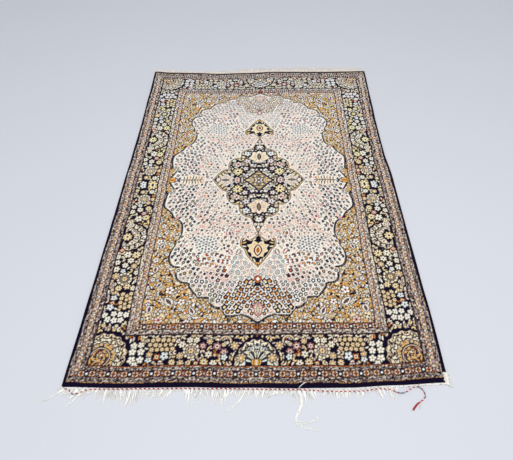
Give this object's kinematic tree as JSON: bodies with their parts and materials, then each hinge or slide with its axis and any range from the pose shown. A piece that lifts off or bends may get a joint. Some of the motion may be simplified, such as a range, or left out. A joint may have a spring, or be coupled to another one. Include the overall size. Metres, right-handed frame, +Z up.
{
  "type": "persian rug",
  "caption": "Flat hand-knotted silk rug with overcast sides, a fringe at each end and a twined cord that has partly come away.",
  "frame": {"origin": "middle of the knotted carpet's flat underside, on the surface that the rug lies on", "axes": "+Y along the rug's length, away from the fringed end with the loose cord; +Z up, from the underside to the pile; +X to the right as seen from above with that end nearest"},
  "size_m": [1.338, 2.0575, 0.0062],
  "materials": {
    "silk_pile": "clipped silk pile knotted in ivory, gold, navy, grey and rose, with a silk sheen",
    "navy_silk": "navy silk overcast round the side cords",
    "warp_yarn": "undyed cream yarn, slightly fuzzy",
    "twined_thread": "two-ply cord of dark red and white thread, with some turquoise"
  },
  "bodies": {
    "root": {"carpet": "silk_pile", "selvedge_left": "navy_silk", "selvedge_right": "navy_silk", "fringe_front": "warp_yarn", "fringe_back": "warp_yarn", "twining_front": "twined_thread", "twining_back": "twined_thread", "loose_cord": "twined_thread", "tail_red": "twined_thread", "tail_white": "warp_yarn"}
  },
  "joints": []
}
